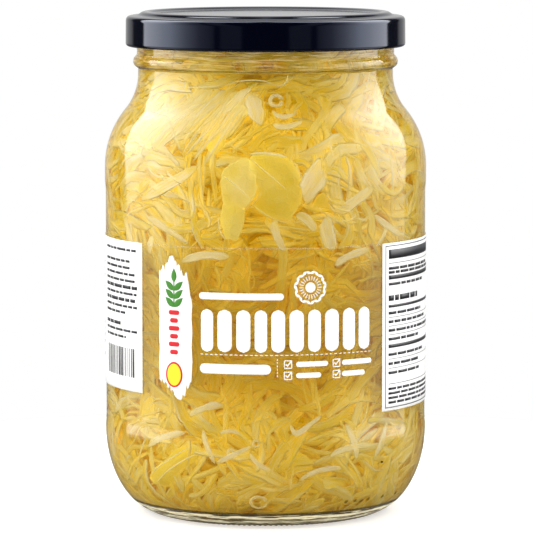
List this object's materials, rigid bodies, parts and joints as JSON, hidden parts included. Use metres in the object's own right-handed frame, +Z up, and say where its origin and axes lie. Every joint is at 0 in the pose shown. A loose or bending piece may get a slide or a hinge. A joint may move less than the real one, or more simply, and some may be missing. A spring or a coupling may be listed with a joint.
{
  "type": "sauerkraut jar",
  "caption": "Wide-mouth glass jar of shredded sauerkraut in brine, with a dark twist-off metal lid and a clear film label with white side panels.",
  "frame": {"origin": "middle of the flat ring under the jar that touches the table", "axes": "+Z up along the jar's axis; -Y is the front, with the middle of the label; +X is to the right seen from the front"},
  "size_m": [0.1204, 0.1204, 0.188],
  "materials": {
    "glass": "clear, polished",
    "lid_paint": "gloss dark navy lacquer",
    "label_film": "clear film with white and black print",
    "cabbage": "moist, slightly see-through shreds"
  },
  "bodies": {
    "root": {"jar": "glass", "lid": "lid_paint", "label": "label_film", "sauerkraut": "cabbage"}
  },
  "joints": []
}
